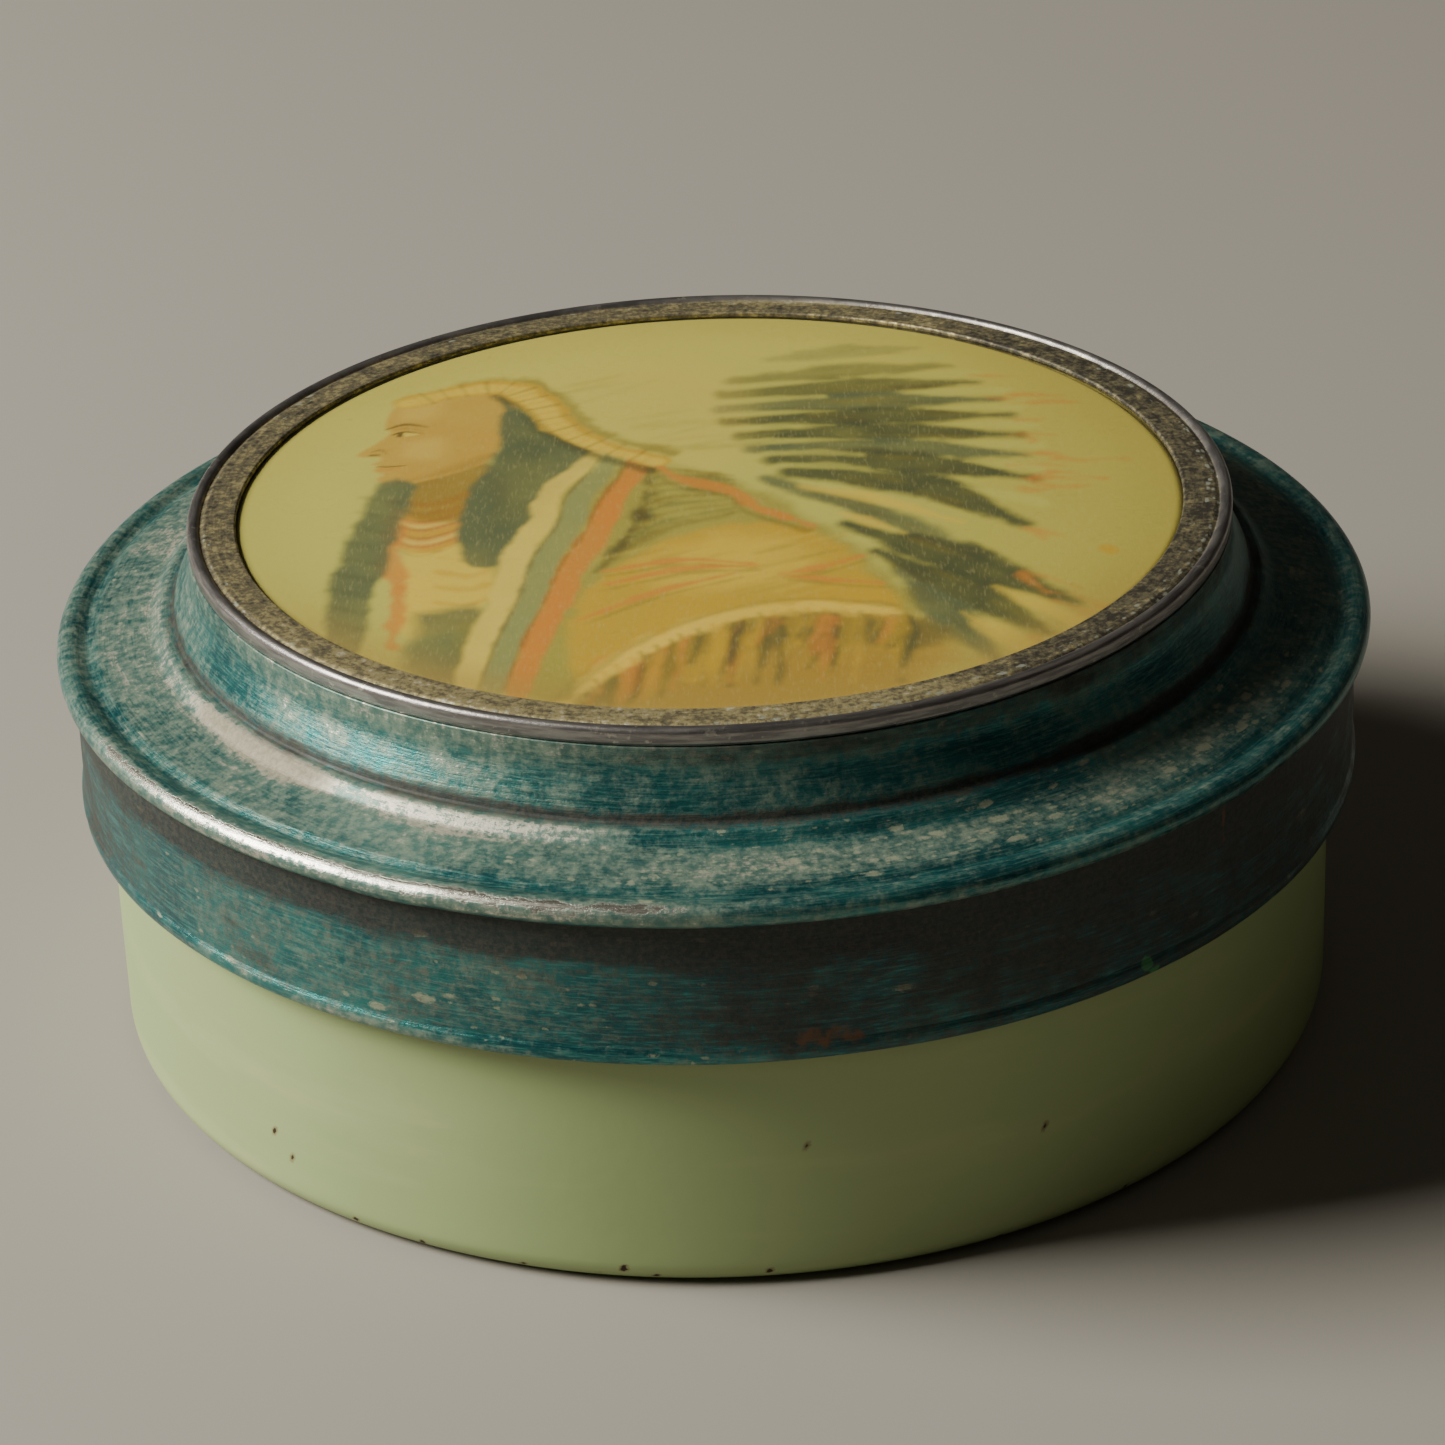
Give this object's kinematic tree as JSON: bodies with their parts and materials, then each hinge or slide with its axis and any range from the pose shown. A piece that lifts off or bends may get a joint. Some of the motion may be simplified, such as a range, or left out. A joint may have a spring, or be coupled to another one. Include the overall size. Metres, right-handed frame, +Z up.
{
  "type": "powder jar",
  "caption": "Round slip-lid powder tin: painted cup, lacquered lid with rolled rim, raised collar and framed picture, sifter and powder puff inside.",
  "frame": {"origin": "centre of the flat base, on the surface that the tin stands on", "axes": "+Z up along the tin's turning axis; +Y points away from the side the picture is read from; +X to the right of that view"},
  "size_m": [0.1, 0.1, 0.0407],
  "materials": {
    "sage_enamel": "satin sage-green stoving enamel with small rust specks",
    "grey_card": "plain unprinted board",
    "face_powder": null,
    "sifter_card": "cream board",
    "plain_tin": "bare tinplate",
    "puff_velour": "short soft pile",
    "puff_satin": "satin weave",
    "teal_lacquer": "transparent teal lacquer over tinplate, worn through on the edges",
    "bezel_metal": "dull oxidised brass-coloured metal",
    "clear_film": null,
    "printed_paper": "matt colour print"
  },
  "bodies": {
    "cup": {"cup_body": "sage_enamel", "card_liner": "grey_card", "powder_fill": "face_powder"},
    "sifter": {"sifter_ring": "sifter_card", "sifter_screen": "plain_tin"},
    "puff": {"puff_pile": "puff_velour", "puff_backing": "puff_satin", "puff_strap": "puff_satin"},
    "lid": {"lid_panel": "teal_lacquer", "lid_skirt": "teal_lacquer", "bezel_ring": "bezel_metal", "picture_film": "clear_film", "picture_print": "printed_paper", "backing_plate": "plain_tin", "collet_ring": "plain_tin"}
  },
  "joints": [
    {"name": "lid_lift", "type": "slide", "parent": "cup", "child": "lid", "axis": [0, 0, 1], "range_m": [0, 0.09]},
    {"name": "puff_lift", "type": "slide", "parent": "cup", "child": "puff", "axis": [0, 0, 1], "range_m": [0, 0.045]},
    {"name": "sifter_lift", "type": "slide", "parent": "cup", "child": "sifter", "axis": [0, 0, 1], "range_m": [0, 0.027]}
  ],
  "couplings": [
    {"joint": "puff_lift", "follows": "lid_lift", "ratio": 0.5},
    {"joint": "sifter_lift", "follows": "lid_lift", "ratio": 0.3}
  ]
}
